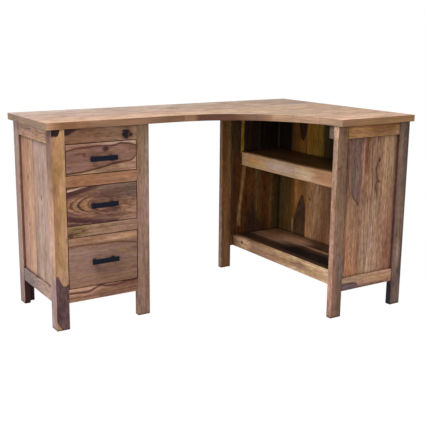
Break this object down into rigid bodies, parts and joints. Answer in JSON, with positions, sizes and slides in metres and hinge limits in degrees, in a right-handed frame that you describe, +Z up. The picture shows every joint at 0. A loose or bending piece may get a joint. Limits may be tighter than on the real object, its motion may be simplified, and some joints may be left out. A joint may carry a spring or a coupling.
{
  "type": "corner desk",
  "caption": "L-shaped wooden corner desk with a curved inner edge, a pedestal of sliding drawers and an open shelf unit.",
  "frame": {"origin": "on the floor, under the middle of the desk's outline seen from above", "axes": "+X runs along the long side from the drawer pedestal to the shelf unit, +Y points back to the wall behind the long side, +Z is up"},
  "size_m": [1.326, 0.818, 0.76],
  "materials": {
    "top_wood": "satin",
    "frame_wood": "satin",
    "panel_wood": "satin",
    "drawer_front_wood": "satin",
    "shelf_wood": "satin",
    "box_wood": "matte",
    "black_metal": "satin",
    "screw_steel": "satin"
  },
  "bodies": {
    "desk": {"top_long": "top_wood", "top_short": "top_wood", "back_rail": "frame_wood", "top_cleat": "box_wood", "pedestal_leg_front_left": "frame_wood", "pedestal_leg_front_right": "frame_wood", "pedestal_leg_rear_left": "frame_wood", "pedestal_leg_rear_right": "frame_wood", "pedestal_left_rails": "frame_wood", "pedestal_right_rails": "frame_wood", "pedestal_back_rails": "frame_wood", "pedestal_left_panel": "panel_wood", "pedestal_right_panel": "panel_wood", "pedestal_back_panel": "panel_wood", "pedestal_apron": "frame_wood", "pedestal_upper_divider": "frame_wood", "pedestal_lower_divider": "frame_wood", "pedestal_front_rail": "frame_wood", "top_runners": "box_wood", "middle_runners": "box_wood", "bottom_runners": "box_wood", "unit_leg_near_left": "frame_wood", "unit_leg_near_right": "frame_wood", "unit_leg_far_left": "frame_wood", "unit_leg_far_right": "frame_wood", "unit_near_rails": "frame_wood", "unit_far_rails": "frame_wood", "unit_rear_rails": "frame_wood", "unit_near_panel": "panel_wood", "unit_far_panel": "panel_wood", "unit_rear_panel": "panel_wood", "lower_shelf_rail": "frame_wood", "upper_shelf_rail": "frame_wood", "lower_shelf": "shelf_wood", "upper_shelf": "shelf_wood", "lower_cleats": "box_wood", "upper_cleats": "box_wood"},
    "top_drawer": {"top_drawer_front": "drawer_front_wood", "top_drawer_left_side": "box_wood", "top_drawer_right_side": "box_wood", "top_drawer_back": "box_wood", "top_drawer_bottom": "box_wood", "top_pull": "black_metal", "top_pull_screws": "screw_steel"},
    "middle_drawer": {"middle_drawer_front": "drawer_front_wood", "middle_drawer_left_side": "box_wood", "middle_drawer_right_side": "box_wood", "middle_drawer_back": "box_wood", "middle_drawer_bottom": "box_wood", "middle_pull": "black_metal", "middle_pull_screws": "screw_steel"},
    "bottom_drawer": {"bottom_drawer_front": "drawer_front_wood", "bottom_drawer_left_side": "box_wood", "bottom_drawer_right_side": "box_wood", "bottom_drawer_back": "box_wood", "bottom_drawer_bottom": "box_wood", "bottom_pull": "black_metal", "bottom_pull_screws": "screw_steel"}
  },
  "joints": [
    {"name": "top_drawer_slide", "type": "slide", "parent": "desk", "child": "top_drawer", "axis": [0, -1, 0], "range_m": [0, 0.26]},
    {"name": "middle_drawer_slide", "type": "slide", "parent": "desk", "child": "middle_drawer", "axis": [0, -1, 0], "range_m": [0, 0.26]},
    {"name": "bottom_drawer_slide", "type": "slide", "parent": "desk", "child": "bottom_drawer", "axis": [0, -1, 0], "range_m": [0, 0.26]}
  ]
}
